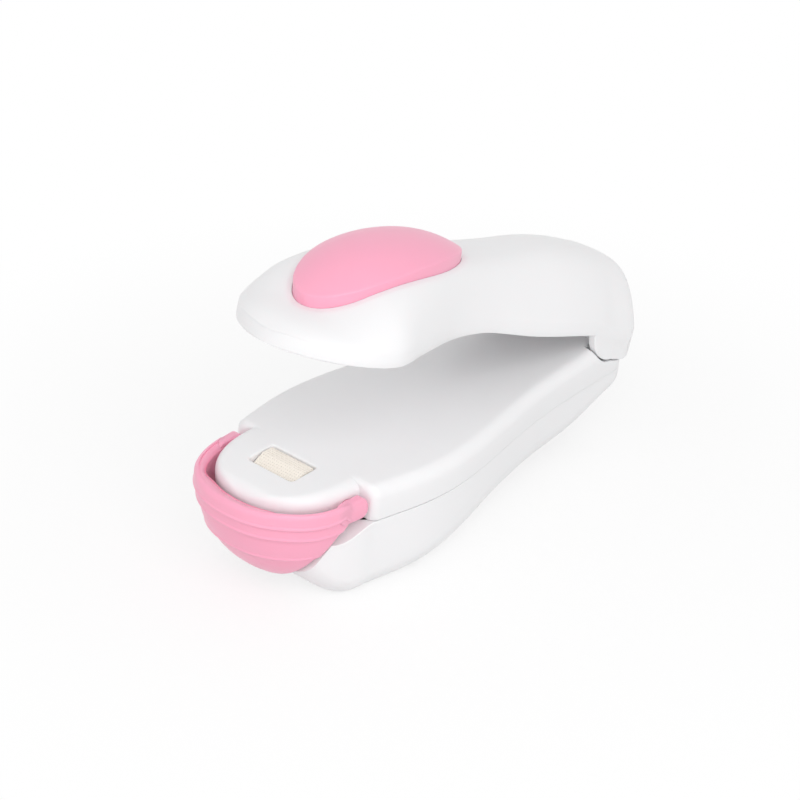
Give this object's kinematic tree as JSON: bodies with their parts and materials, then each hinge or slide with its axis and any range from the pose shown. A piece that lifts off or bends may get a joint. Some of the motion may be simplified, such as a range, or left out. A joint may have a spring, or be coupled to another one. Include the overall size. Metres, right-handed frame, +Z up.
{
  "type": "mini bag sealer",
  "caption": "Pocket heat sealer for plastic bags: white hinged clamp body with a sprung press arm, pink teardrop thumb pad, heated nose window and swing-up pink safety catch.",
  "frame": {"origin": "on the flat underside of the base, on the centre line, below the shoulder where the nose begins", "axes": "+Z up, -Y towards the nose with the heater and catch, +Y towards the hinge, +X to the right seen from the nose end looking along +Y"},
  "size_m": [0.0396, 0.1007, 0.0575],
  "materials": {
    "white_shell": "satin",
    "pink_shell": "satin",
    "silicone": "matte",
    "heater_cloth": "matte",
    "heat_moulding": "matte",
    "spring_steel": "satin",
    "brass": "satin",
    "cell_sleeve": "gloss",
    "red_sleeve": "gloss",
    "black_sleeve": "gloss"
  },
  "bodies": {
    "base": {"lower_shell": "white_shell", "upper_shell": "white_shell", "battery_door": "white_shell", "case_screws": "spring_steel", "door_screw": "spring_steel", "hinge_pin": "spring_steel", "arm_spring": "spring_steel", "battery_left": "cell_sleeve", "battery_right": "cell_sleeve", "contact_bridge": "spring_steel", "contact_positive": "brass", "contact_negative": "spring_steel", "contact_leaves": "brass", "red_wire": "red_sleeve", "black_wire": "black_sleeve", "heater_springs": "spring_steel"},
    "press_arm": {"arm_shell": "white_shell", "arm_liner": "white_shell", "liner_screws": "spring_steel", "thumb_pad": "pink_shell", "press_pad": "silicone"},
    "safety_catch": {"safety_catch": "pink_shell"},
    "heater": {"heater_carrier": "heat_moulding", "heater_strip": "spring_steel", "heater_cloth": "heater_cloth", "heater_terminals": "brass"}
  },
  "joints": [
    {"name": "arm_hinge", "type": "hinge", "parent": "base", "child": "press_arm", "pos_m": [0, 0.0705, 0.024], "axis": [1, 0, 0], "range_deg": [0, 17.5], "stiffness_Nm_per_rad": 0.06, "springref_deg": -22.92, "deforming": ["arm_spring"]},
    {"name": "catch_hinge", "type": "hinge", "parent": "base", "child": "safety_catch", "pos_m": [0, -0.0032, 0.0176], "axis": [-1, 0, 0], "range_deg": [0, 24]},
    {"name": "heater_slide", "type": "slide", "parent": "base", "child": "heater", "axis": [0, 0, -1], "range_m": [0, 0.001], "stiffness_N_per_m": 600, "springref_m": -0.002, "deforming": ["heater_springs"]}
  ]
}
